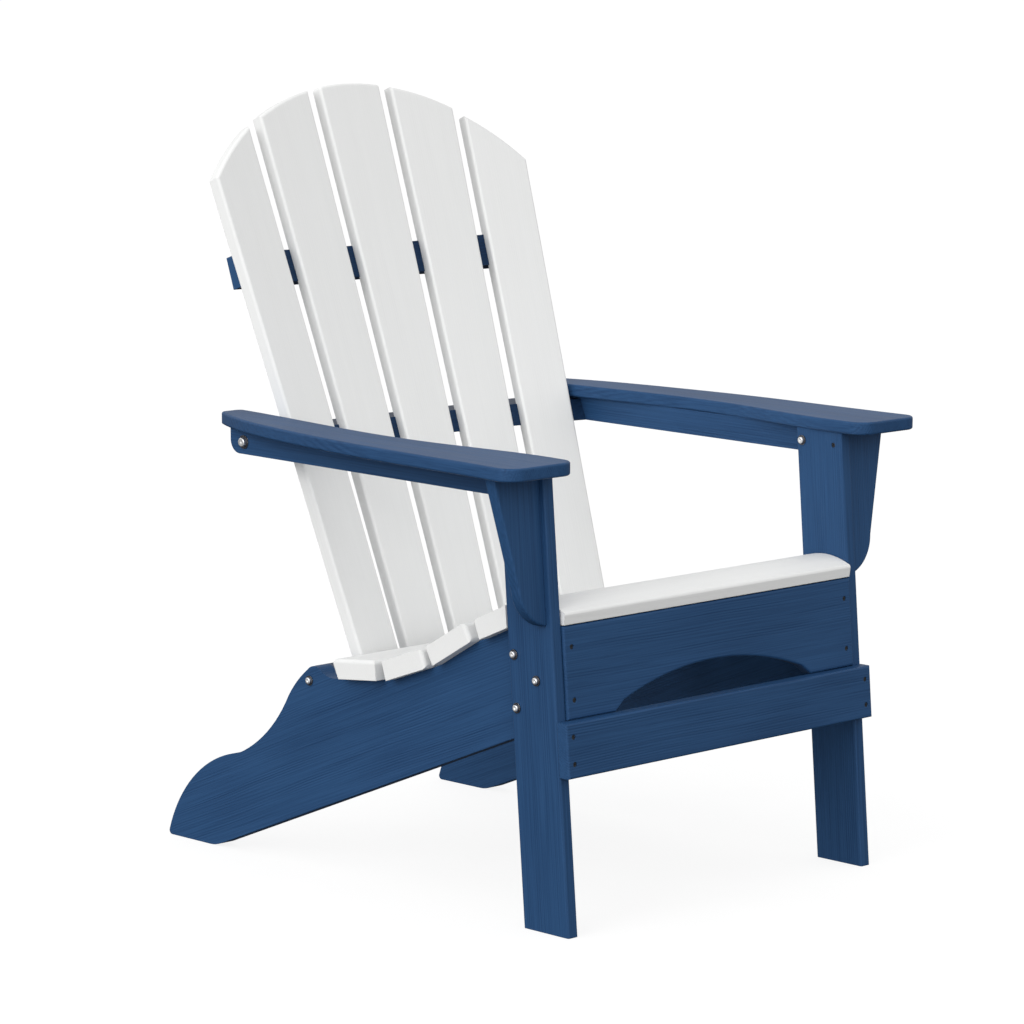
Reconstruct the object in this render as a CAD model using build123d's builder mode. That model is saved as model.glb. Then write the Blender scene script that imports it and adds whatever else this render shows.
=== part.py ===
from build123d import *
import os
from math import atan, cos, degrees, radians, sin

os.makedirs("parts", exist_ok=True)

# Every length is in millimetres. "back" and "rear" mean +Y, "up" means +Z.
# Side profiles are drawn as (distance behind the front foot, height).

# Layout
front_y = -424.7
leg_outer_x = 300.0
board_thick = 18.0
stringer_thick = 26.0
slat_thick = 18.0
seat_thick = 28.0
edge_round = 3.0
fit_gap = 1.0

# Front legs, apron and stretcher
leg_width = 84.7
leg_rake = 0.077
apron_low = 287.0
apron_top_gap = 1.5
stretcher_gap = 0.5
seat_rest = 412.5
apron_proud = 3.5
arch_half_width = 194.0
arch_shoulder_x = 176.0
arch_shoulder_z = 300.0
arch_crown_z = 332.3
arch_cut_depth = 100.0
apron_screw_inset = 13.5
apron_screws_up = (25.7, 96.0)
stretcher_low = 213.5
stretcher_screws_up = (19.0, 55.0)
stretcher_screw_inset = 12.0

# Armrests
arm_underside = 613.0
arm_rise = 0.012
arm_thick = 18.0
rail_height = 35.5
rail_end = 655.5
rail_corner = 19.0
bracket_setback = 9.0
bracket_reach = 88.5
bracket_low_z = 414.0
bracket_waist = (34.5, 435.5)
bracket_flare = (45.5, 466.0)

# Armrest plan, as (distance past the leg's outer face, distance behind the foot)
arm_inner_edge = (
    (-22.0, 30.0),
    (-20.5, 120.0),
    (-3.0, 260.0),
    (0.0, 360.0),
    (-10.0, 490.0),
    (-21.0, 590.0),
    (-28.0, 678.0),
)
arm_rear_inner = ((-28.0, 678.0), (-25.07, 685.07), (-18.0, 688.0))
arm_rear_outer = ((2.0, 688.0), (7.7, 686.22), (11.37, 681.5))
arm_outer_edge = (
    (11.37, 681.5),
    (47.0, 589.0),
    (72.0, 460.0),
    (89.5, 310.0),
    (95.5, 140.0),
    (100.0, 34.0),
)
arm_front_outer = ((100.0, 34.0), (94.0, 12.5), (74.0, 4.0))
arm_front_inner = ((4.0, 4.0), (-14.4, 11.6), (-22.0, 30.0))

# Back
back_foot = 383.0
recline = 19.03
low_level = 387.0
high_level = 987.0
slat_gap = 22.5
slat_side_gap = 5.0
slat_flares = (26.0, 21.0, 13.0)
bow_low = 26.411
bow_high = 12.517
slat_foot_level = 262.0
crown_level = 745.0
crown_radius = 405.0
slat_round = 4.0
slat_back_round = 1.2
slat_corner = 5.0
recess = 2.0

# Braces
brace_blank = 200.0
lower_brace_low = 250.5
lower_brace_height = 36.0
lower_brace_rear = 552.0
arm_brace_rear = 652.0
arm_brace_drop = 5.0
upper_brace_up = 120.5
upper_brace_height = 46.3
upper_brace_depth = 36.0
upper_brace_past = 30.0

# Seat slats, each as the front and rear lower corners of its side view
slat_3_seat = ((186.0, 373.0), (261.0, 330.5))
slat_2_seat = ((275.7, 324.5), (355.0, 297.0))
slat_1_seat = ((375.0, 294.3), (453.0, 286.3))
seat_bevel = 0.36
seat_round = 6.0

# Seat front board
front_board_low = (28.0, seat_rest)
front_board_nose = ((31.0, 430.7), (27.4, 429.0), (26.0, 425.6))
front_board_top = ((118.0, 431.0), (78.0, 440.0), (31.0, 430.7))
front_board_rear = (179.9, 403.8)

# Stringer outline, from the front round the rear leg and back
stringer_brow = ((84.0, seat_rest), (95.0, 410.2), (105.0, 405.3))
stringer_slope_end = (169.0, 378.1)
stringer_scroll = (
    ((466.0, 285.0), (490.0, 280.8), (512.0, 289.5)),
    ((512.0, 289.5), (524.0, 292.8), (538.0, 286.5)),
    ((538.0, 286.5), (560.0, 267.5), (580.0, 243.0)),
    ((580.0, 243.0), (629.0, 183.0), (690.0, 144.5)),
    ((690.0, 144.5), (790.0, 97.0), (850.6, 6.2)),
    ((850.6, 6.2), (848.78, 1.82), (844.4, 0.0)),
)
stringer_foot = ((757.0, 0.0), (745.41, 1.103), (734.24, 4.372))
stringer_nose = (52.0, 276.5)

# Fasteners
bolt_radius = 3.0
bolt_head_radius = 4.8
bolt_head_height = 3.4
bolt_head_round = 1.6
socket_radius = 2.3
socket_depth = 2.0
washer_radius = 7.0
washer_thick = 1.4
washer_bore = 3.3
big_washer_radius = 9.5
big_head_radius = 6.6
big_head_height = 4.6
nut_radius = 5.8
nut_height = 5.0
hole_play = 0.2
screw_head_radius = 3.4
screw_head_height = 2.0
screw_radius = 2.0
screw_recess = 1.0
screw_play = 0.1
screw_length = 42.0
screw_hole_depth = 50.0
brace_bolt_bite = 40.0
bolt_hole_extra = 2.0
rail_bolt_bite = 14.0

# Bolt and screw spots, as (distance behind the front foot, height or drop below the armrest)
leg_bolt_spots = ((102.3, 367.0), (59.9, 337.2), (96.8, 295.9))
rail_bolt_spot = (626.6, 10.9)
leg_top_spot = (120.7, 16.0)
bracket_screw_spot = (62.0, 18.1)
stringer_bolt_in = 18.0
stringer_bolt_up = 20.5

leg_inner_x = leg_outer_x - board_thick
stretcher_high = apron_low - stretcher_gap
apron_high = seat_rest - apron_top_gap
stringer_inner_x = leg_inner_x - stringer_thick
rail_outer_x = leg_outer_x + board_thick
wrap_low = bow_low / stringer_inner_x**2
wrap_high = bow_high / stringer_inner_x**2
lower_brace_high = lower_brace_low + lower_brace_height
upper_brace_low = crown_level + upper_brace_up
upper_brace_high = upper_brace_low + upper_brace_height
upper_screw_spread = 22.0
slat_low_width = (2 * stringer_inner_x - 2 * slat_side_gap - 4 * slat_gap) / 5
slat_high_widths = [slat_low_width + flare for flare in slat_flares]
screw_bite = 10.0

side_view = Plane(origin=(0, front_y, 0), x_dir=(0, 1, 0), z_dir=(1, 0, 0))
front_view = Plane(origin=(0, front_y, 0), x_dir=(1, 0, 0), z_dir=(0, -1, 0))
leg_view = Plane(origin=(0, front_y, 0), x_dir=(1, 0, 0), z_dir=(0, -1, leg_rake))
arm_view = Plane(origin=(0, front_y, arm_underside), x_dir=(1, 0, 0), z_dir=(0, -arm_rise, 1))
recline_sin = sin(radians(recline))
recline_cos = cos(radians(recline))
back_view = Plane(
    origin=(0, front_y + back_foot, 0),
    x_dir=(1, 0, 0),
    z_dir=(0, -recline_cos, recline_sin),
)
sides = ((1, "left"), (-1, "right"))


def save(part, name):
    part.label = name
    export_step(part, f"parts/{name}.step")


def start_x(side, inner, thick):
    """X where a board on this side begins, for an extrusion towards +X."""
    return inner if side > 0 else -inner - thick


def beside(side, past, along):
    """A point this far past the leg's outer face, and along the other direction."""
    return (side * (leg_outer_x + past), along)


def outward(side, x, back, height):
    """Plane on an outer face, looking away from the middle of the chair."""
    return Plane(origin=(side * x, front_y + back, height), x_dir=(0, 1, 0), z_dir=(side, 0, 0))


def inward(side, x, back, height):
    """Plane on an inner face, looking towards the middle of the chair."""
    return Plane(origin=(side * x, front_y + back, height), x_dir=(0, 1, 0), z_dir=(-side, 0, 0))


def on_raked_front(x, height, proud):
    """Plane on the raked front of a board that stands proud of the legs."""
    back = leg_rake * height - proud
    return Plane(origin=(x, front_y + back, height), x_dir=(1, 0, 0), z_dir=(0, -1, leg_rake))


def wrap(x, level):
    """How far the back comes forward of its middle slat at this place."""
    share = (level - low_level) / (high_level - low_level)
    return (wrap_low + share * (wrap_high - wrap_low)) * x**2


def on_back(x, level, behind=0.0):
    """A point of the back: across, up the slope, and behind its front face."""
    return back_view.from_local_coords(Vector(x, level, wrap(x, level) - behind))


# Places of the fasteners
leg_bolt_places = [outward(s, leg_outer_x, b, h) for s, _ in sides for b, h in leg_bolt_spots]
leg_nut_places = [inward(s, stringer_inner_x, b, h) for s, _ in sides for b, h in leg_bolt_spots]
stringer_bolt_back = lower_brace_rear - stringer_bolt_in
stringer_bolt_z = lower_brace_low + stringer_bolt_up
stringer_bolt_places = [outward(s, leg_inner_x, stringer_bolt_back, stringer_bolt_z) for s, _ in sides]
rail_bolt_back, rail_bolt_drop = rail_bolt_spot
rail_bolt_z = arm_underside - rail_bolt_drop
rail_bolt_places = [outward(s, rail_outer_x, rail_bolt_back, rail_bolt_z) for s, _ in sides]
leg_top_back, leg_top_drop = leg_top_spot
leg_top_z = arm_underside - leg_top_drop
leg_top_places = [inward(s, leg_inner_x, leg_top_back, leg_top_z) for s, _ in sides]
bracket_screw_back, bracket_screw_drop = bracket_screw_spot
bracket_screw_z = arm_underside - bracket_screw_drop
bracket_screw_places = [inward(s, leg_inner_x, bracket_screw_back, bracket_screw_z) for s, _ in sides]
apron_screw_x = leg_inner_x - apron_screw_inset
apron_screw_places = [
    on_raked_front(s * apron_screw_x, apron_low + up, apron_proud)
    for s, _ in sides
    for up in apron_screws_up
]
stretcher_screw_x = leg_outer_x - stretcher_screw_inset
stretcher_screw_places = [
    on_raked_front(s * stretcher_screw_x, stretcher_low + up, board_thick)
    for s, _ in sides
    for up in stretcher_screws_up
]


def drill(places, radius, depth):
    """Bores plain holes down from each place in the part being built."""
    with Locations(*places):
        Cylinder(
            radius,
            2 * depth,
            align=(Align.CENTER, Align.CENTER, Align.CENTER),
            mode=Mode.SUBTRACT,
        )


def sink_screws(places, length):
    """Bores the head recess and the shank hole of a recessed screw."""
    drill(places, screw_head_radius + screw_play, screw_recess + screw_head_height)
    drill(places, screw_radius + screw_play, length)


def make_bolts(places, length, head_radius, head_height, washer):
    """Round-headed socket bolts that stand on their washers."""
    with BuildPart() as bolts:
        for place in places:
            with BuildSketch(place.offset(washer)):
                Circle(head_radius)
            extrude(amount=head_height)
        rims = bolts.edges().filter_by(GeomType.CIRCLE)
        tops = [
            edge
            for edge in rims
            if min(abs(place.to_local_coords(edge.center()).Z - washer - head_height) for place in places)
            < 0.01
        ]
        fillet(tops, bolt_head_round)
        for place in places:
            with BuildSketch(place.offset(washer)):
                Circle(bolt_radius)
            extrude(amount=-length)
            with BuildSketch(place.offset(washer + head_height)):
                RegularPolygon(socket_radius, 6)
            extrude(amount=-socket_depth, mode=Mode.SUBTRACT)
    return bolts.part


def make_washers(places, radius):
    """Flat washers on the board faces."""
    with BuildPart() as washers:
        for place in places:
            with BuildSketch(place):
                Circle(radius)
                Circle(washer_bore, mode=Mode.SUBTRACT)
            extrude(amount=washer_thick)
    return washers.part


def make_screws(places, length):
    """Flat-headed screws sunk below the board faces."""
    with BuildPart() as screws:
        for place in places:
            with BuildSketch(place.offset(-screw_recess)):
                Circle(screw_head_radius)
            extrude(amount=-screw_head_height)
            with BuildSketch(place.offset(-screw_recess - screw_head_height)):
                Circle(screw_radius)
            extrude(amount=-length)
            with BuildSketch(place.offset(-screw_recess)):
                Rectangle(screw_head_radius, screw_radius / 3)
                Rectangle(screw_radius / 3, screw_head_radius)
            extrude(amount=-screw_head_height / 2, mode=Mode.SUBTRACT)
    return screws.part


# Front legs: boards on edge, leaning back a little
for side, name in sides:
    with BuildPart() as leg:
        with BuildSketch(side_view.offset(start_x(side, leg_inner_x, board_thick))):
            tall = arm_underside + 2 * board_thick
            with BuildLine():
                Polyline(
                    (0, 0),
                    (leg_width, 0),
                    (leg_width + leg_rake * tall, tall),
                    (leg_rake * tall, tall),
                    close=True,
                )
            make_face()
        extrude(amount=board_thick)
        uprights = leg.edges().filter_by(lambda e: abs(e.tangent_at(0.5).Z) > 0.9)
        fillet(uprights, edge_round)
        split(bisect_by=arm_view, keep=Keep.BOTTOM)
        drill(leg_bolt_places, bolt_radius + hole_play, board_thick)
        drill(leg_top_places, bolt_radius + hole_play, board_thick)
        sink_screws(bracket_screw_places, board_thick)
        drill(stretcher_screw_places, screw_radius + screw_play, screw_hole_depth)
    save(leg.part, f"front_leg_{name}")

# Stringers: seat side and rear leg in one scroll-shaped board
for side, name in sides:
    with BuildPart() as stringer:
        with BuildSketch(side_view.offset(start_x(side, stringer_inner_x, stringer_thick))):
            apron_back = board_thick - apron_proud
            front_low = (apron_back + leg_rake * apron_low, apron_low)
            front_high = (apron_back + leg_rake * seat_rest, seat_rest)
            with BuildLine():
                Polyline(front_low, front_high, stringer_brow[0])
                ThreePointArc(*stringer_brow)
                Polyline(stringer_brow[-1], stringer_slope_end, *slat_3_seat, *slat_2_seat, *slat_1_seat)
                Line(slat_1_seat[-1], stringer_scroll[0][0])
                for arc in stringer_scroll:
                    ThreePointArc(*arc)
                Line(stringer_scroll[-1][-1], stringer_foot[0])
                ThreePointArc(*stringer_foot)
                Polyline(stringer_foot[-1], stringer_nose, front_low)
            make_face()
        extrude(amount=stringer_thick)
        drill(leg_bolt_places, bolt_radius + hole_play, board_thick + stringer_thick)
        drill(stringer_bolt_places, bolt_radius + hole_play, stringer_thick)
        drill(apron_screw_places, screw_radius + screw_play, screw_hole_depth)
    save(stringer.part, f"stringer_{name}")

# Apron between the legs, with an arch cut in its lower edge
with BuildPart() as apron:
    with BuildSketch(side_view.offset(-leg_inner_x)):
        with BuildLine():
            Polyline(
                (leg_rake * apron_low - apron_proud, apron_low),
                (leg_rake * apron_low - apron_proud + board_thick, apron_low),
                (leg_rake * apron_high - apron_proud + board_thick, apron_high),
                (leg_rake * apron_high - apron_proud, apron_high),
                close=True,
            )
        make_face()
    extrude(amount=2 * leg_inner_x)
    with BuildSketch(front_view):
        with BuildLine():
            Line((-arch_half_width, apron_low - 1), (-arch_shoulder_x, arch_shoulder_z))
            ThreePointArc(
                (-arch_shoulder_x, arch_shoulder_z),
                (0, arch_crown_z),
                (arch_shoulder_x, arch_shoulder_z),
            )
            Line((arch_shoulder_x, arch_shoulder_z), (arch_half_width, apron_low - 1))
            Line((arch_half_width, apron_low - 1), (-arch_half_width, apron_low - 1))
        make_face()
    extrude(amount=-arch_cut_depth, mode=Mode.SUBTRACT)
    front_face = apron.faces().sort_by(Axis.Y)[0]
    fillet(front_face.edges(), edge_round)
    sink_screws(apron_screw_places, 3 * board_thick)
save(apron.part, "front_apron")

# Stretcher across the fronts of the legs
with BuildPart() as stretcher:
    with BuildSketch(side_view.offset(-leg_outer_x)):
        with BuildLine():
            Polyline(
                (leg_rake * stretcher_low - board_thick, stretcher_low),
                (leg_rake * stretcher_low, stretcher_low),
                (leg_rake * stretcher_high, stretcher_high),
                (leg_rake * stretcher_high - board_thick, stretcher_high),
                close=True,
            )
        make_face()
    extrude(amount=2 * leg_outer_x)
    front_face = stretcher.faces().sort_by(Axis.Y)[0]
    fillet(front_face.edges(), edge_round)
    sink_screws(stretcher_screw_places, 3 * board_thick)
save(stretcher.part, "front_stretcher")

# Arm brackets on the outer faces of the legs
bracket_back = leg_view.offset(-(bracket_setback + board_thick) * cos(atan(leg_rake)))
for side, name in sides:
    with BuildPart() as bracket:
        with BuildSketch(bracket_back):
            tall = arm_underside + 2 * board_thick
            with BuildLine():
                Line(beside(side, 0, bracket_low_z), beside(side, 0, tall))
                Line(beside(side, 0, tall), beside(side, bracket_reach, tall))
                Line(beside(side, bracket_reach, tall), beside(side, *bracket_flare))
                ThreePointArc(
                    beside(side, *bracket_flare),
                    beside(side, *bracket_waist),
                    beside(side, 0, bracket_low_z),
                )
            make_face()
        extrude(amount=board_thick * cos(atan(leg_rake)))
        split(bisect_by=arm_view, keep=Keep.BOTTOM)
        outer_edges = bracket.edges().filter_by(lambda e: abs(e.center().X) > leg_outer_x + 1)
        below_arm = outer_edges.filter_by(lambda e: e.center().Z < arm_underside)
        fillet(below_arm.filter_by(lambda e: e.length > 2 * board_thick), edge_round)
        drill(bracket_screw_places, screw_radius + screw_play, screw_hole_depth)
    save(bracket.part, f"arm_bracket_{name}")

# Arm rails on edge under the armrests
for side, name in sides:
    with BuildPart() as rail:
        with BuildSketch(side_view.offset(start_x(side, leg_outer_x, board_thick))):
            with BuildLine():
                Polyline(
                    (0, arm_underside),
                    (0, arm_underside - rail_height),
                    (rail_end, arm_underside - rail_height + arm_rise * rail_end),
                    (rail_end, arm_underside + arm_rise * rail_end),
                    close=True,
                )
            make_face()
            low_rear = vertices().group_by(Axis.X)[-1].sort_by(Axis.Y)[0]
            fillet(low_rear, rail_corner)
        extrude(amount=board_thick)
        split(bisect_by=bracket_back, keep=Keep.BOTTOM)
        drill(rail_bolt_places, bolt_radius + hole_play, board_thick)
        drill(leg_top_places, bolt_radius + hole_play, board_thick + rail_bolt_bite + bolt_hole_extra)
    save(rail.part, f"arm_rail_{name}")

# Armrests: shaped boards, wide in front and narrow behind
for side, name in sides:
    with BuildPart() as arm:
        with BuildSketch(arm_view):
            with BuildLine():
                Spline(*[beside(side, past, back) for past, back in arm_inner_edge])
                ThreePointArc(*[beside(side, past, back) for past, back in arm_rear_inner])
                Line(beside(side, *arm_rear_inner[-1]), beside(side, *arm_rear_outer[0]))
                ThreePointArc(*[beside(side, past, back) for past, back in arm_rear_outer])
                Spline(*[beside(side, past, back) for past, back in arm_outer_edge])
                ThreePointArc(*[beside(side, past, back) for past, back in arm_front_outer])
                Line(beside(side, *arm_front_outer[-1]), beside(side, *arm_front_inner[0]))
                ThreePointArc(*[beside(side, past, back) for past, back in arm_front_inner])
            make_face()
        extrude(amount=arm_thick)
        fillet(arm.edges().filter_by(lambda e: abs(e.tangent_at(0.5).Z) < 0.5), edge_round)
    save(arm.part, f"armrest_{name}")

# Seat: three plain slats and a wide front board over the legs' inner sides
for number, corners in ((1, slat_1_seat), (2, slat_2_seat), (3, slat_3_seat)):
    (front_low, rear_low) = (Vector(*corners[0]), Vector(*corners[1]))
    run = (rear_low - front_low).normalized()
    rise = Vector(-run.Y, run.X)
    lean = seat_bevel * seat_thick if number == 1 else 0.0
    with BuildPart() as seat_slat:
        with BuildSketch(side_view.offset(-leg_outer_x)):
            with BuildLine():
                Polyline(
                    front_low,
                    rear_low,
                    rear_low + rise * seat_thick + run * lean,
                    front_low + rise * seat_thick,
                    close=True,
                )
            make_face()
        extrude(amount=2 * leg_outer_x)
        upper = seat_slat.faces().sort_by(Axis.Z)[-1]
        fillet(upper.edges(), seat_round)
    save(seat_slat.part, f"seat_slat_{number}")

with BuildPart() as front_board:
    with BuildSketch(side_view.offset(-leg_outer_x)):
        with BuildLine():
            Line(front_board_low, stringer_brow[0])
            ThreePointArc(*stringer_brow)
            Polyline(stringer_brow[-1], stringer_slope_end, front_board_rear, front_board_top[0])
            ThreePointArc(*front_board_top)
            ThreePointArc(*front_board_nose)
            Line(front_board_nose[-1], front_board_low)
        make_face()
    extrude(amount=2 * leg_outer_x)
    crest = front_board.edges().filter_by(Axis.X).sort_by(Axis.Y)[-1]
    fillet(crest, seat_round)
    for side, name in sides:
        with BuildSketch(side_view.offset(start_x(side, leg_inner_x - fit_gap, 2 * board_thick))):
            with BuildLine():
                Polyline(
                    (0, 0),
                    (leg_width + fit_gap, 0),
                    (leg_width + fit_gap + leg_rake * 2 * seat_rest, 2 * seat_rest),
                    (0, 2 * seat_rest),
                    close=True,
                )
            make_face()
        extrude(amount=2 * board_thick, mode=Mode.SUBTRACT)
save(front_board.part, "seat_front_board")

# Shapes that trim the back: the arched top and the hollow front of the braces
with BuildPart() as crown_trim:
    with BuildSketch(back_view.offset(-3 * slat_thick)):
        with Locations((0, crown_level + crown_radius)):
            Rectangle(3 * crown_radius, 2 * crown_radius)
        with Locations((0, crown_level)):
            Circle(crown_radius, mode=Mode.SUBTRACT)
    extrude(amount=6 * slat_thick)

with BuildPart() as back_space:
    reach = 1.1 * leg_outer_x
    for level in (slat_foot_level - slat_low_width, crown_level + crown_radius):
        across = Plane(origin=on_back(0, level), x_dir=(1, 0, 0), z_dir=back_view.y_dir)
        edge = slat_thick - recess - wrap(reach, level)
        with BuildSketch(across):
            with BuildLine():
                ThreePointArc((-reach, edge), (0, slat_thick - recess), (reach, edge))
                Polyline((reach, edge), (reach, -reach), (-reach, -reach), (-reach, edge))
            make_face()
    loft(ruled=True)

# Back slats: five tapered boards, fanned and wrapped round the sitter
back_slats = []
centre_low = 0.0
centre_high = 0.0
slat_centres = [(0.0, 0.0)]
for step in (1, 2):
    centre_low += slat_low_width + slat_gap
    centre_high += (slat_high_widths[step - 1] + slat_high_widths[step]) / 2 + slat_gap
    slat_centres.append((centre_low, centre_high))

for number in (1, 2, 3, 4, 5):
    side = 1 if number > 3 else -1
    step = abs(number - 3)
    foot = on_back(side * slat_centres[step][0], low_level)
    head = on_back(side * slat_centres[step][1], high_level)
    axis = (head - foot).normalized()
    mid_x = side * sum(slat_centres[step]) / 2
    mid_level = (low_level + high_level) / 2
    turn = degrees(atan(2 * wrap(1, mid_level) * mid_x))
    square_on = Plane(origin=foot, x_dir=axis.cross(back_view.z_dir), z_dir=axis)
    across = square_on.x_dir.rotate(Axis((0, 0, 0), axis), -turn)
    face_plane = Plane(origin=foot, x_dir=across, z_dir=across.cross(axis))
    reach = head.sub(foot).length
    spread = (slat_high_widths[step] - slat_low_width) / 2 / reach
    down = low_level - slat_foot_level
    up = crown_level + crown_radius - low_level + slat_thick
    with BuildPart() as back_slat:
        with BuildSketch(face_plane):
            with BuildLine():
                Polyline(
                    (-slat_low_width / 2 + spread * down, -down),
                    (slat_low_width / 2 - spread * down, -down),
                    (slat_low_width / 2 + spread * up, up),
                    (-slat_low_width / 2 - spread * up, up),
                    close=True,
                )
            make_face()
        extrude(amount=-slat_thick)
        add(crown_trim.part, mode=Mode.SUBTRACT)
        look = Axis((0, 0, 0), face_plane.z_dir)
        through = back_slat.edges().filter_by(look)
        fillet(through.sort_by(Axis((0, 0, 0), axis))[-2:], slat_corner)
        fillet(back_slat.faces().sort_by(look)[-1].edges(), slat_round)
        fillet(back_slat.faces().sort_by(look)[0].edges(), slat_back_round)
    back_slats.append(back_slat)

# Screws from behind through the upper brace, two to a slat
middle_level = (upper_brace_low + upper_brace_high) / 2
level_share = (middle_level - low_level) / (high_level - low_level)
screw_lines = []
for number in (1, 2, 3, 4, 5):
    side = 1 if number > 3 else -1
    low_x, high_x = slat_centres[abs(number - 3)]
    slat_x = side * (low_x + level_share * (high_x - low_x))
    screw_lines += [slat_x - upper_screw_spread, slat_x + upper_screw_spread]
slat_screw_places = [
    Plane(
        origin=back_view.from_local_coords(Vector(x, middle_level, -upper_brace_depth)),
        x_dir=(1, 0, 0),
        z_dir=-back_view.z_dir,
    )
    for x in screw_lines
]
slat_screw_lengths = [
    upper_brace_depth - slat_thick + wrap(x, middle_level) + screw_bite for x in screw_lines
]

for number, back_slat in enumerate(back_slats, start=1):
    with back_slat:
        for place, length in zip(slat_screw_places, slat_screw_lengths):
            drill([place], screw_radius + screw_play, length + screw_play)
    save(back_slat.part, f"back_slat_{number}")

# Braces behind the back slats
upper_brace_half = max(screw_lines) - upper_screw_spread + upper_brace_past
with BuildPart() as upper_brace:
    with BuildSketch(back_view.offset(-upper_brace_depth)):
        with Locations((0, middle_level)):
            Rectangle(2 * upper_brace_half, upper_brace_high - upper_brace_low)
    extrude(amount=2 * upper_brace_depth)
    add(back_space.part, mode=Mode.SUBTRACT)
    for back_slat in back_slats:
        add(back_slat.part, mode=Mode.SUBTRACT)
    rear_face = upper_brace.faces().sort_by(Axis((0, 0, 0), back_view.z_dir))[0]
    fillet(rear_face.edges(), edge_round)
    for place, length in zip(slat_screw_places, slat_screw_lengths):
        sink_screws([place], length)
save(upper_brace.part, "upper_back_brace")

with BuildPart() as arm_brace:
    with BuildSketch(arm_view.offset(-arm_brace_drop)):
        with Locations((0, arm_brace_rear)):
            Rectangle(2 * leg_outer_x, brace_blank, align=(Align.CENTER, Align.MAX))
    extrude(amount=arm_brace_drop - rail_height)
    add(back_space.part, mode=Mode.SUBTRACT)
    for back_slat in back_slats:
        add(back_slat.part, mode=Mode.SUBTRACT)
    rail_hole = board_thick + brace_bolt_bite + bolt_hole_extra
    drill(rail_bolt_places, bolt_radius + hole_play, rail_hole)
save(arm_brace.part, "arm_level_brace")

with BuildPart() as lower_brace:
    with BuildSketch(Plane.XY.offset(lower_brace_low)):
        with Locations((0, front_y + lower_brace_rear)):
            Rectangle(2 * stringer_inner_x, brace_blank, align=(Align.CENTER, Align.MAX))
    extrude(amount=lower_brace_high - lower_brace_low)
    add(back_space.part, mode=Mode.SUBTRACT)
    for back_slat in back_slats:
        add(back_slat.part, mode=Mode.SUBTRACT)
    stringer_hole = stringer_thick + brace_bolt_bite + bolt_hole_extra
    drill(stringer_bolt_places, bolt_radius + hole_play, stringer_hole)
save(lower_brace.part, "lower_back_brace")

# Fasteners
leg_bolts = make_bolts(
    leg_bolt_places,
    washer_thick + board_thick + stringer_thick + nut_height,
    bolt_head_radius,
    bolt_head_height,
    washer_thick,
)
save(leg_bolts, "leg_bolts")
save(make_washers(leg_bolt_places, washer_radius), "leg_bolt_washers")

with BuildPart() as leg_nuts:
    for place in leg_nut_places:
        with BuildSketch(place):
            RegularPolygon(nut_radius, 6)
            Circle(bolt_radius, mode=Mode.SUBTRACT)
        extrude(amount=nut_height)
save(leg_nuts.part, "leg_bolt_nuts")

stringer_bolts = make_bolts(
    stringer_bolt_places,
    washer_thick + stringer_thick + brace_bolt_bite,
    bolt_head_radius,
    bolt_head_height,
    washer_thick,
)
save(stringer_bolts, "stringer_rear_bolts")
save(make_washers(stringer_bolt_places, washer_radius), "stringer_rear_washers")

rail_bolts = make_bolts(
    rail_bolt_places,
    washer_thick + board_thick + brace_bolt_bite,
    big_head_radius,
    big_head_height,
    washer_thick,
)
save(rail_bolts, "arm_rail_bolts")
save(make_washers(rail_bolt_places, big_washer_radius), "arm_rail_washers")

leg_top_bolts = make_bolts(
    leg_top_places,
    washer_thick + board_thick + rail_bolt_bite,
    bolt_head_radius,
    bolt_head_height,
    washer_thick,
)
save(leg_top_bolts, "leg_top_bolts")
save(make_washers(leg_top_places, washer_radius), "leg_top_washers")

save(make_screws(bracket_screw_places, screw_length), "bracket_screws")
save(make_screws(apron_screw_places, screw_length), "apron_screws")
save(make_screws(stretcher_screw_places, screw_length), "stretcher_screws")

with BuildPart() as slat_screws:
    for place, length in zip(slat_screw_places, slat_screw_lengths):
        add(make_screws([place], length - screw_recess - screw_head_height))
save(slat_screws.part, "back_slat_screws")
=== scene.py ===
"""The looks of a two-tone adirondack chair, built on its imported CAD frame."""

import math

import bpy
from mathutils import Matrix, Vector

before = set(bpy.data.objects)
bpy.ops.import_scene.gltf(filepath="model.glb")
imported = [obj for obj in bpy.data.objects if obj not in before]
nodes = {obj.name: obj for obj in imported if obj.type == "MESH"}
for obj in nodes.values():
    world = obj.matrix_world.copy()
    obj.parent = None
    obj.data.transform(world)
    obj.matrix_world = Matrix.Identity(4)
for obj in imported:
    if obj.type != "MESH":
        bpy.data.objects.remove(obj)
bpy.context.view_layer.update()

# ---------------------------------------------------------------- colours
NAVY = (0.0262, 0.0815, 0.1960)
NAVY_DEEP = (0.0095, 0.0370, 0.1020)
NAVY_RUB = (0.0420, 0.1050, 0.2250)
# Painted shade: the brace colours are a darker navy than the rest of the frame, standing in for the shade
# the braces sit in between and behind the slats.
BRACE_PAINTED_SHADE = (0.0120, 0.0390, 0.1000)
BRACE_PAINTED_SHADE_DEEP = (0.0060, 0.0200, 0.0550)
WHITE = (0.868, 0.872, 0.866)
WHITE_DEEP = (0.780, 0.785, 0.778)
WHITE_RUB = (0.846, 0.850, 0.844)
BRIGHT_STEEL = (0.94, 0.94, 0.94)
BRIGHT_STEEL_DULL = (0.84, 0.84, 0.85)
DARK_STEEL = (0.10, 0.10, 0.11)
DARK_STEEL_DULL = (0.05, 0.05, 0.06)
STEEL_EDGE = (0.9, 0.9, 0.9)
COATING = (0.006, 0.007, 0.010)
COATING_WORN = (0.016, 0.018, 0.023)
COATING_EDGE = (0.10, 0.11, 0.13)

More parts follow.
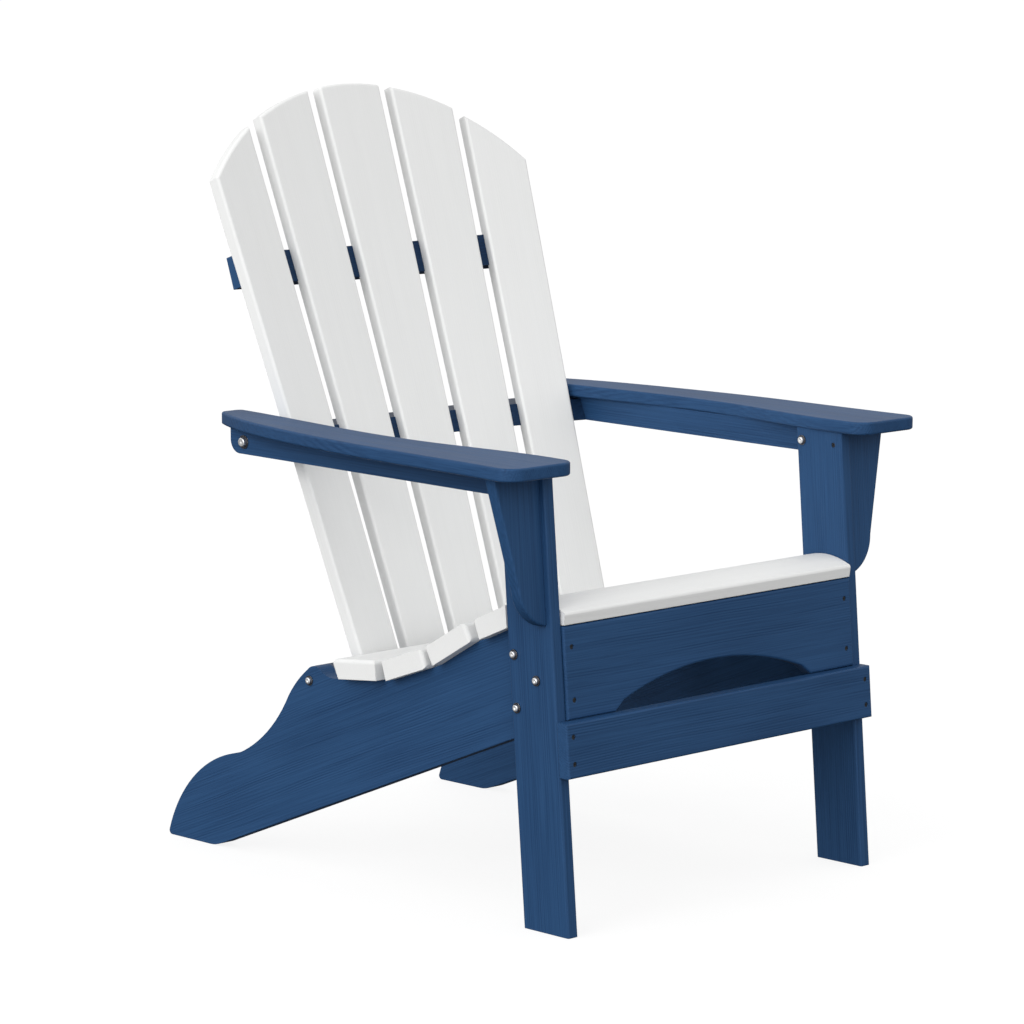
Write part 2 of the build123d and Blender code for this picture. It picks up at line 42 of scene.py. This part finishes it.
# ---------------------------------------------------------------- grain, in repeats per metre
GRAIN_SWAY = (1.6, 6.0, 6.0)
GRAIN_BREAKS = (5.0, 70.0, 70.0)
GRAIN_FIBRES = (6.0, 620.0, 620.0)
GRAIN_PORES = (18.0, 560.0, 560.0)
GRAIN_CLOUDS = (3.0, 14.0, 14.0)
LINES_ACROSS = 270.0
LINES_THROUGH = 130.0
LINES_SWAY = 8.0
STEEL_MARKS = (900.0, 2600.0, 2600.0)

# ---------------------------------------------------------------- lengths in metres
BOARD_EDGE = 0.0016
BOARD_BUMP = 0.00012
BOARD_BUMP_LEAST = 0.00002
STEEL_EDGE_WIDTH = 0.0004
STEEL_BUMP = 0.00002
SCREW_EDGE = 0.0003
SCREW_BUMP = 0.00003
FLOOR_SIZE = 400.0
FLOOR_DROP = 0.0005

# ---------------------------------------------------------------- finish of the boards and floor
BOARD_SPECULAR = 0.14
NAVY_STRENGTH, NAVY_ROUGH = 0.95, 0.46
BRACE_STRENGTH = 1.0
WHITE_STRENGTH, WHITE_ROUGH = 0.45, 0.50
FLOOR_LOW, FLOOR_HIGH = (0.17, 0.17, 0.17), (0.18, 0.18, 0.18)
FLOOR_ROUGH = 0.9
FLOOR_GLOW = 0.86


# ---------------------------------------------------------------- node helpers
class Tree:
    """Small helper that adds nodes to one material and links them."""

    def __init__(self, name):
        self.material = bpy.data.materials.new(name)
        self.material.use_nodes = True
        self.tree = self.material.node_tree
        self.tree.nodes.clear()

    def add(self, kind, **settings):
        node = self.tree.nodes.new(kind)
        for key, value in settings.items():
            setattr(node, key, value)
        return node

    def feed(self, socket, value):
        if isinstance(value, bpy.types.NodeSocket):
            self.tree.links.new(value, socket)
        elif isinstance(value, tuple) and len(value) == 3 and socket.type == "RGBA":
            socket.default_value = (*value, 1.0)
        else:
            socket.default_value = value

    def math(self, operation, a, b=0.0, c=0.0, clamp=False):
        node = self.add("ShaderNodeMath", operation=operation, use_clamp=clamp)
        for socket, value in zip(node.inputs, (a, b, c)):
            self.feed(socket, value)
        return node.outputs[0]

    def scaled(self, vector, scale):
        node = self.add("ShaderNodeVectorMath", operation="MULTIPLY")
        self.feed(node.inputs[0], vector)
        node.inputs[1].default_value = scale
        return node.outputs[0]

    def noise(self, vector, scale=1.0, detail=2.0, roughness=0.5):
        node = self.add("ShaderNodeTexNoise")
        self.feed(node.inputs["Vector"], vector)
        node.inputs["Scale"].default_value = scale
        node.inputs["Detail"].default_value = detail
        node.inputs["Roughness"].default_value = roughness
        return node.outputs["Fac"]

    def step(self, value, low, high, to_low=0.0, to_high=1.0):
        node = self.add("ShaderNodeMapRange", interpolation_type="SMOOTHSTEP")
        self.feed(node.inputs["Value"], value)
        node.inputs["From Min"].default_value = low
        node.inputs["From Max"].default_value = high
        node.inputs["To Min"].default_value = to_low
        node.inputs["To Max"].default_value = to_high
        return node.outputs["Result"]

    def mix(self, share, a, b):
        node = self.add("ShaderNodeMix", data_type="RGBA")
        self.feed(node.inputs[0], share)
        self.feed(node.inputs[6], a)
        self.feed(node.inputs[7], b)
        return node.outputs[2]

    def edges(self, radius):
        """1 on edges and corners, 0 on flat faces."""
        bevel = self.add("ShaderNodeBevel", samples=4)
        bevel.inputs["Radius"].default_value = radius
        flat = self.add("ShaderNodeNewGeometry").outputs["Normal"]
        dot = self.add("ShaderNodeVectorMath", operation="DOT_PRODUCT")
        self.feed(dot.inputs[0], bevel.outputs[0])
        self.feed(dot.inputs[1], flat)
        return self.step(dot.outputs["Value"], 0.995, 0.80), bevel.outputs[0]

    def bump(self, height, distance, normal):
        node = self.add("ShaderNodeBump")
        node.inputs["Strength"].default_value = 1.0
        node.inputs["Distance"].default_value = distance
        self.feed(node.inputs["Height"], height)
        self.feed(node.inputs["Normal"], normal)
        return node.outputs[0]

    def finish(self, colour, roughness, normal, metallic=0.0, specular=0.5):
        shader = self.add("ShaderNodeBsdfPrincipled")
        self.feed(shader.inputs["Base Color"], colour)
        self.feed(shader.inputs["Roughness"], roughness)
        self.feed(shader.inputs["Normal"], normal)
        shader.inputs["Metallic"].default_value = metallic
        shader.inputs["IOR"].default_value = 1.5
        shader.inputs["Specular IOR Level"].default_value = specular
        out = self.add("ShaderNodeOutputMaterial")
        self.tree.links.new(shader.outputs[0], out.inputs[0])
        return self.material


def board_material(name, grain, face, offset, base, deep, rub, strength, rough, unshaded_end_colour=None):
    """Extruded plastic lumber with an embossed wood grain that runs along one direction."""
    along = Vector(grain).normalized()
    across = Vector(face).cross(along).normalized()
    turn = Matrix((along, across, along.cross(across))).to_euler("XYZ")
    t = Tree(name)
    place = t.add("ShaderNodeMapping")
    t.feed(place.inputs["Vector"], t.add("ShaderNodeTexCoord").outputs["Object"])
    place.inputs["Rotation"].default_value = turn
    place.inputs["Location"].default_value = offset
    at = place.outputs[0]

    # Long, nearly straight lines that waver a little, like the growth rings of sawn wood
    sway = t.noise(t.scaled(at, GRAIN_SWAY), detail=2.0)
    split = t.add("ShaderNodeSeparateXYZ")
    t.feed(split.inputs[0], at)
    level = t.math("MULTIPLY_ADD", split.outputs[1], LINES_ACROSS, t.math("MULTIPLY", sway, LINES_SWAY))
    level = t.math("MULTIPLY_ADD", split.outputs[2], LINES_THROUGH, level)
    ring = t.math("PINGPONG", level, 0.5)
    broken = t.noise(t.scaled(at, GRAIN_BREAKS), detail=2.0)
    ring = t.math("MULTIPLY", t.step(ring, 0.10, 0.48), t.step(broken, 0.34, 0.72))

    # Short fine pores and brushed fibres
    fibre = t.noise(t.scaled(at, GRAIN_FIBRES), detail=3.0, roughness=0.55)
    pores = t.step(t.noise(t.scaled(at, GRAIN_PORES), detail=1.0), 0.60, 0.74)
    cloud = t.noise(t.scaled(at, GRAIN_CLOUDS), detail=3.0)

    edge, soft_normal = t.edges(BOARD_EDGE)
    groove = t.math("MAXIMUM", ring, t.math("MULTIPLY", pores, 0.45))
    shade = t.math("MULTIPLY_ADD", groove, 0.36 * strength, t.step(fibre, 0.32, 0.70, 0.0, 0.40 * strength))
    shade = t.math("MULTIPLY_ADD", t.step(cloud, 0.35, 0.70), 0.22 * strength, shade, clamp=True)
    colour = t.mix(shade, base, deep)
    worn = t.math("MULTIPLY", edge, t.step(cloud, 0.30, 0.65, 0.10, 0.45))
    colour = t.mix(worn, colour, rub)
    # Painted shade: when unshaded_end_colour is given, faces across the grain take that colour, and the
    # other faces keep the darker painted-shade colours.
    if unshaded_end_colour is not None:
        flat = t.add("ShaderNodeVectorMath", operation="DOT_PRODUCT")
        t.feed(flat.inputs[0], t.add("ShaderNodeNewGeometry").outputs["Normal"])
        flat.inputs[1].default_value = along
        facing = t.step(t.math("ABSOLUTE", flat.outputs["Value"]), 0.5, 0.9)
        colour = t.mix(facing, colour, unshaded_end_colour)

    height = t.math("MULTIPLY_ADD", groove, -1.0, t.math("MULTIPLY", fibre, 0.55))
    normal = t.bump(height, BOARD_BUMP * strength + BOARD_BUMP_LEAST, soft_normal)
    roughness = t.step(fibre, 0.30, 0.70, rough + 0.05, rough - 0.04)
    return t.finish(colour, roughness, normal, specular=BOARD_SPECULAR)


def steel_material(name, colour, dark, rough, scratch):
    """Plated steel with fine turning marks and a little dullness in patches."""
    t = Tree(name)
    at = t.add("ShaderNodeTexCoord").outputs["Object"]
    fine = t.noise(t.scaled(at, STEEL_MARKS), detail=2.0)
    cloud = t.noise(at, scale=160.0, detail=2.0)
    edge, soft_normal = t.edges(STEEL_EDGE_WIDTH)
    tint = t.mix(t.step(cloud, 0.35, 0.75), colour, dark)
    tint = t.mix(t.math("MULTIPLY", edge, 0.5), tint, STEEL_EDGE)
    roughness = t.step(fine, 0.3, 0.7, rough - 0.05, rough + scratch)
    return t.finish(tint, roughness, t.bump(fine, STEEL_BUMP, soft_normal), metallic=1.0)


def screw_material(name):
    """Black coated screw heads, rubbed to grey on their edges."""
    t = Tree(name)
    at = t.add("ShaderNodeTexCoord").outputs["Object"]
    grit = t.noise(at, scale=1500.0, detail=3.0)
    edge, soft_normal = t.edges(SCREW_EDGE)
    colour = t.mix(t.step(grit, 0.3, 0.7), COATING, COATING_WORN)
    colour = t.mix(t.math("MULTIPLY", edge, 0.4), colour, COATING_EDGE)
    roughness = t.step(grit, 0.3, 0.7, 0.42, 0.58)
    return t.finish(colour, roughness, t.bump(grit, SCREW_BUMP, soft_normal))


# ---------------------------------------------------------------- boards
X, Y, Z = (1, 0, 0), (0, 1, 0), (0, 0, 1)
LEG_LINE = (0, 0.077, 1)
STRINGER_LINE = (0, 1, -0.40)
ARM_LINE = (0, 1, 0.012)


def slat_line(name):
    """The direction of a back slat, from the middle of its foot to the middle of its head."""
    points = [v.co for v in nodes[name].data.vertices]
    heights = [p.z for p in points]
    low, high = min(heights), max(heights)
    foot = [p for p in points if p.z < low + 0.03]
    head = [p for p in points if p.z > low + 0.72 * (high - low)]
    return sum(head, Vector()) / len(head) - sum(foot, Vector()) / len(foot)


navy_boards = {
    "front_leg_left": (LEG_LINE, X),
    "front_leg_right": (LEG_LINE, X),
    "stringer_left": (STRINGER_LINE, X),
    "stringer_right": (STRINGER_LINE, X),
    "front_apron": (X, Y),
    "front_stretcher": (X, Y),
    "armrest_left": (ARM_LINE, Z),
    "armrest_right": (ARM_LINE, Z),
    "arm_rail_left": (ARM_LINE, X),
    "arm_rail_right": (ARM_LINE, X),
    "arm_bracket_left": (LEG_LINE, Y),
    "arm_bracket_right": (LEG_LINE, Y),
}
braces = {
    "lower_back_brace": (X, Z),
    "arm_level_brace": (X, Z),
    "upper_back_brace": (X, Y),
}
white_boards = {f"seat_slat_{i}": (X, Z) for i in (1, 2, 3)}
white_boards["seat_front_board"] = (X, Z)
for i in range(1, 6):
    white_boards[f"back_slat_{i}"] = (slat_line(f"back_slat_{i}"), Y)


def cover(name, material):
    node = nodes[name]
    node.data.materials.clear()
    node.data.materials.append(material)


def cover_boards(boards, shift, base, deep, rub, strength, rough, unshaded_end_colour=None):
    """Covers boards one by one, each with its own stretch of the grain."""
    for count, (name, (grain, face)) in enumerate(sorted(boards.items())):
        offset = tuple(step * count for step in shift)
        cover(name, board_material(name, grain, face, offset, base, deep, rub, strength, rough, unshaded_end_colour))


cover_boards(navy_boards, (0.37, 0.61, 0.23), NAVY, NAVY_DEEP, NAVY_RUB, NAVY_STRENGTH, NAVY_ROUGH)
# The braces get painted shade: darker navy on their long faces, with the plain navy kept on their ends.
cover_boards(braces, (0.47, 0.31, 0.59), BRACE_PAINTED_SHADE, BRACE_PAINTED_SHADE_DEEP, NAVY_DEEP, BRACE_STRENGTH, NAVY_ROUGH, NAVY)
cover_boards(white_boards, (0.29, 0.53, 0.41), WHITE, WHITE_DEEP, WHITE_RUB, WHITE_STRENGTH, WHITE_ROUGH)

bright = steel_material("bolt_steel", BRIGHT_STEEL, BRIGHT_STEEL_DULL, 0.34, 0.10)
dull = steel_material("washer_steel", DARK_STEEL, DARK_STEEL_DULL, 0.42, 0.12)
black = screw_material("dark_screws")
for name in nodes:
    if name.endswith(("bolts", "nuts")):
        cover(name, bright)
    elif name.endswith("washers"):
        cover(name, dull)
    elif name.endswith("screws"):
        cover(name, black)

# ---------------------------------------------------------------- floor and light
scene = bpy.context.scene
scene.view_settings.view_transform = "Standard"
scene.view_settings.look = "None"

bpy.ops.mesh.primitive_plane_add(size=FLOOR_SIZE, location=(0, 0, -FLOOR_DROP))
floor = bpy.context.object
floor.name = "floor"
paint = Tree("pale_floor")
at = paint.add("ShaderNodeTexCoord").outputs["Object"]
speck = paint.step(paint.noise(at, scale=6.0, detail=4.0), 0.3, 0.7)
shader = paint.add("ShaderNodeBsdfPrincipled")
paint.feed(shader.inputs["Base Color"], paint.mix(speck, FLOOR_LOW, FLOOR_HIGH))
shader.inputs["Roughness"].default_value = FLOOR_ROUGH
shader.inputs["Specular IOR Level"].default_value = 0.0
shader.inputs["Emission Color"].default_value = (1, 1, 1, 1)
shader.inputs["Emission Strength"].default_value = FLOOR_GLOW
out = paint.add("ShaderNodeOutputMaterial")
paint.tree.links.new(shader.outputs[0], out.inputs[0])
floor.data.materials.append(paint.material)
floor.visible_diffuse = False
floor.visible_glossy = False

# A soft sky above, and only a little light back from the floor
world = bpy.data.worlds.new("studio")
scene.world = world
world.use_nodes = True
sky = world.node_tree
direction = sky.nodes.new("ShaderNodeTexCoord").outputs["Generated"]


def glow(towards, low, high, dim, bright):
    """Sky strength that rises from dim to bright in one direction."""
    dot = sky.nodes.new("ShaderNodeVectorMath")
    dot.operation = "DOT_PRODUCT"
    sky.links.new(direction, dot.inputs[0])
    dot.inputs[1].default_value = Vector(towards).normalized()
    ramp = sky.nodes.new("ShaderNodeMapRange")
    ramp.interpolation_type = "SMOOTHSTEP"
    sky.links.new(dot.outputs["Value"], ramp.inputs["Value"])
    for key, value in (("From Min", low), ("From Max", high), ("To Min", dim), ("To Max", bright)):
        ramp.inputs[key].default_value = value
    return ramp.outputs["Result"]


both = sky.nodes.new("ShaderNodeMath")
sky.links.new(glow((0, 0, 1), -0.30, 0.20, 0.05, 0.80), both.inputs[0])
sky.links.new(glow((-0.85, -0.45, 0.22), 0.00, 0.90, 0.0, 0.40), both.inputs[1])
sky.links.new(both.outputs[0], sky.nodes["Background"].inputs["Strength"])
sky.nodes["Background"].inputs["Color"].default_value = (1.0, 1.0, 1.0, 1)


def soft_box(name, place, target, size, watts):
    light = bpy.data.lights.new(name, "AREA")
    light.shape = "RECTANGLE"
    light.size, light.size_y = size
    light.energy = watts
    box = bpy.data.objects.new(name, light)
    box.location = place
    box.rotation_euler = (Vector(target) - Vector(place)).to_track_quat("-Z", "Y").to_euler()
    scene.collection.objects.link(box)


soft_box("key", (-4.4, -0.6, 2.3), (0, 0, 0.4), (2.6, 2.2), 62.0)
soft_box("front", (-2.4, -4.1, 2.2), (0, 0, 0.5), (3.0, 2.6), 12.0)

# ---------------------------------------------------------------- camera
camera = bpy.data.cameras.new("camera")
camera.sensor_width = 36.0
camera.lens = 141.486
camera.shift_x = -0.05716
camera.shift_y = 0.07215
camera.clip_end = 100.0
eye = bpy.data.objects.new("camera", camera)
eye.location = (-3.9112, -4.0830, 1.3275)
eye.rotation_euler = (math.radians(90 - 9.463), 0, math.radians(-44.657))
scene.collection.objects.link(eye)
scene.camera = eye
